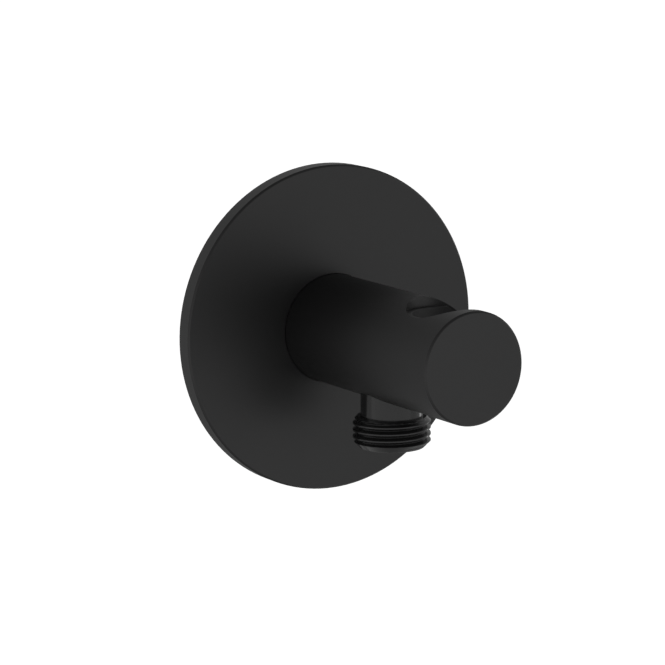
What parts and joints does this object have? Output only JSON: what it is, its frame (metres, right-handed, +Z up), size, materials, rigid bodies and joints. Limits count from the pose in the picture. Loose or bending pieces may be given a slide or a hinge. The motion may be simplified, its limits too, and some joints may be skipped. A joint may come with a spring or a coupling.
{
  "type": "wall outlet elbow",
  "caption": "Shower wall outlet: round wall plate, level round body with a threaded hose outlet below and a conical socket, slotted at the side, that holds a hand shower.",
  "frame": {"origin": "where the inlet axis meets the finished wall, at the foot of the inlet thread", "axes": "+Y into the wall along the inlet thread, +Z up, the hose outlet points along -Z, the hose slot opens towards +X"},
  "size_m": [0.09, 0.09, 0.09],
  "materials": {
    "matte_black_metal": "matte powder coat over turned brass",
    "black_plastic": "moulded, satin",
    "gloss_black_metal": "gloss black over turned brass",
    "bare_brass": "as turned",
    "black_steel": "black oxide",
    "foam_rubber": "closed cell foam",
    "seal_rubber": "moulded, satin",
    "white_plastic": "cut from sheet"
  },
  "bodies": {
    "root": {"wall_flange": "matte_black_metal", "elbow_body": "matte_black_metal", "socket_liner": "black_plastic", "outlet_nipple": "gloss_black_metal", "wall_nipple": "bare_brass", "clamp_screw": "black_steel", "flange_gasket": "foam_rubber", "flange_grip_ring": "seal_rubber", "spigot_ring_rear": "seal_rubber", "spigot_ring_front": "seal_rubber", "outlet_washer": "white_plastic"}
  },
  "joints": []
}
